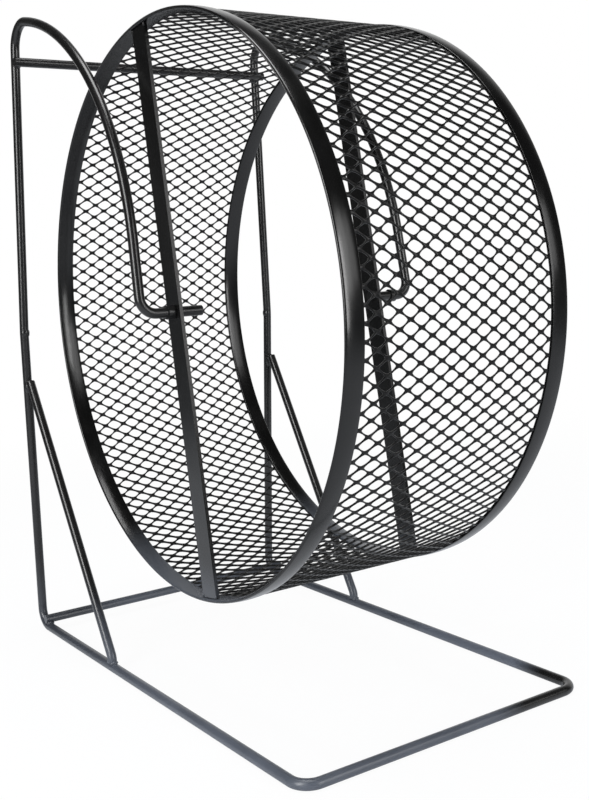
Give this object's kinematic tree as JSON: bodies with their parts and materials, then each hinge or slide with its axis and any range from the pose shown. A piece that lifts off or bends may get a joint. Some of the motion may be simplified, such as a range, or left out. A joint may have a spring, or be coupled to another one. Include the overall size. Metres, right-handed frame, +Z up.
{
  "type": "rodent exercise wheel",
  "caption": "Free-standing steel running wheel for small rodents: expanded-metal drum between folded rims, turning on axle stubs of a bent-rod stand.",
  "frame": {"origin": "on the floor, straight below the middle of the axle line", "axes": "+X forward, away from the uprights; +Y along the axle, to the right; +Z up"},
  "size_m": [0.3027, 0.1723, 0.3534],
  "materials": {
    "stand_paint": "satin black",
    "wheel_paint": "satin black",
    "mesh_paint": "satin black"
  },
  "bodies": {
    "stand": {"base_rod": "stand_paint", "left_arm_rod": "stand_paint", "right_arm_rod": "stand_paint", "top_brace_rod": "stand_paint", "rear_floor_rod": "stand_paint", "left_strut": "stand_paint", "right_strut": "stand_paint", "left_axle_collar": "stand_paint", "right_axle_collar": "stand_paint"},
    "wheel": {"left_rim": "wheel_paint", "right_rim": "wheel_paint", "left_crossbar": "wheel_paint", "right_crossbar": "wheel_paint", "drum_mesh": "mesh_paint"}
  },
  "joints": [
    {"name": "wheel_spin", "type": "hinge", "parent": "stand", "child": "wheel", "pos_m": [0, 0, 0.192], "axis": [0, 1, 0], "continuous": true}
  ]
}
